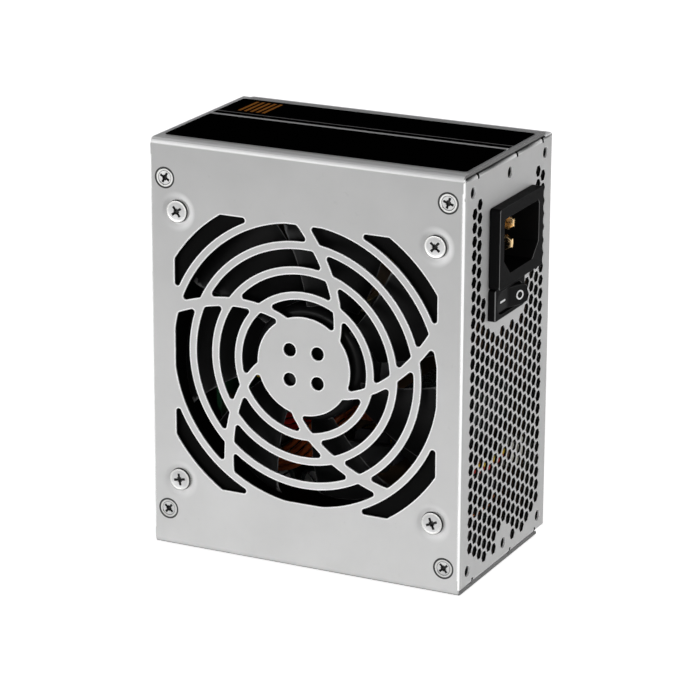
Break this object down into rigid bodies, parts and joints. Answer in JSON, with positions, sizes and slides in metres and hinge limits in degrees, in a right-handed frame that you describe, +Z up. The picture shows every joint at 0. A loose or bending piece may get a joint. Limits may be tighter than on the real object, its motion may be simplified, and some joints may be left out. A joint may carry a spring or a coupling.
{
  "type": "power supply unit",
  "caption": "Compact computer power supply: folded steel case with a spiral-ring fan grille, honeycomb rear panel, mains inlet, rocker switch and detachable-cable sockets.",
  "frame": {"origin": "centre of the narrow side that the case stands on, at its outer face", "axes": "+X along the fan face towards the inlet panel, +Y from the fan face towards the back plate, +Z up along the case's longest side"},
  "size_m": [0.1064, 0.0639, 0.1251],
  "materials": {
    "shell_steel": "zinc-plated folded sheet steel, satin, one side panel perforated",
    "cover_steel": "zinc-plated folded sheet steel, matte, bright sheared edges",
    "bright_screws": "bright zinc-plated steel screws",
    "black_label": "thin black printed film, satin",
    "pale_label": "thin pale film",
    "fan_plastic": "black moulded plastic",
    "blade_plastic": "black moulded plastic, slightly glossy",
    "bearing_bronze": "sintered bronze",
    "green_board": "circuit board with solder mask",
    "tan_board": "tan phenolic circuit board",
    "lamination_steel": "stacked steel laminations",
    "copper_wire": "enamelled copper wire",
    "shaft_steel": "ground steel",
    "magnet_rubber": "bonded magnet",
    "red_insulation": "wire insulation",
    "orange_insulation": "wire insulation",
    "yellow_insulation": "wire insulation",
    "black_insulation": "wire insulation",
    "brown_insulation": "mains wire insulation",
    "green_insulation": "earth wire insulation",
    "white_nylon": "natural nylon",
    "inlet_plastic": "black satin thermoplastic",
    "rocker_plastic": "black satin thermoplastic with white marks",
    "brass_contacts": "plated brass",
    "tinned_brass": "tinned brass",
    "insulating_film": "milky insulating film",
    "glass_fuse": "glass tube with metal caps",
    "yellow_film": "yellow case and tape",
    "blue_ceramic": "blue coated ceramic",
    "dark_ceramic": "dark coated ceramic",
    "ferrite": "sintered ferrite",
    "powder_core": "coated powder core",
    "black_epoxy": "moulded epoxy package",
    "sink_aluminium": "extruded aluminium",
    "capacitor_can": "sleeved aluminium can",
    "socket_plastic": "black moulded nylon"
  },
  "bodies": {
    "case": {"base_shell": "shell_steel", "fan_cover": "cover_steel", "case_screws": "bright_screws", "fan_screws": "bright_screws", "top_label": "black_label", "rating_label": "pale_label", "fan_frame": "fan_plastic", "fan_bearing": "bearing_bronze", "fan_board": "green_board", "fan_stator": "lamination_steel", "stator_coils": "copper_wire", "fan_lead": "red_insulation", "fan_plug": "white_nylon", "inlet_housing": "inlet_plastic", "live_pins": "brass_contacts", "earth_pin": "brass_contacts", "switch_housing": "inlet_plastic", "switch_terminals": "tinned_brass", "mains_leads": "brown_insulation", "earth_lead": "green_insulation", "earth_screw": "bright_screws", "insulating_sheet": "insulating_film", "board_standoffs": "brass_contacts", "board_screws": "bright_screws", "main_board": "tan_board", "fuse": "glass_fuse", "x_capacitor": "yellow_film", "y_capacitors": "blue_ceramic", "line_choke_core": "ferrite", "line_choke_coils": "copper_wire", "varistor": "blue_ceramic", "thermistor": "dark_ceramic", "bridge_rectifier": "black_epoxy", "primary_heatsink": "sink_aluminium", "primary_transistors": "black_epoxy", "pfc_choke_core": "ferrite", "pfc_choke_coil": "copper_wire", "bulk_capacitor": "capacitor_can", "transformer_core": "ferrite", "transformer_winding": "yellow_film", "standby_core": "ferrite", "standby_winding": "yellow_film", "secondary_heatsink": "sink_aluminium", "secondary_rectifiers": "black_epoxy", "output_choke_core": "powder_core", "output_choke_coil": "copper_wire", "output_capacitors": "capacitor_can", "supervisor_board": "green_board", "socket_board": "green_board", "socket_spacers": "brass_contacts", "output_sockets": "socket_plastic", "output_contacts": "brass_contacts", "orange_leads": "orange_insulation", "red_leads": "red_insulation", "yellow_leads": "yellow_insulation", "black_leads": "black_insulation"},
    "rotor": {"fan_rotor": "blade_plastic", "rotor_shaft": "shaft_steel", "magnet_ring": "magnet_rubber"},
    "rocker": {"switch_rocker": "rocker_plastic"}
  },
  "joints": [
    {"name": "fan_spin", "type": "hinge", "parent": "case", "child": "rotor", "pos_m": [0, -0.022, 0.0625], "axis": [0, -1, 0], "continuous": true},
    {"name": "rocker_tilt", "type": "hinge", "parent": "case", "child": "rocker", "pos_m": [0.0495, -0.0036, 0.0829], "axis": [0, 0, 1], "range_deg": [0, 22]}
  ]
}
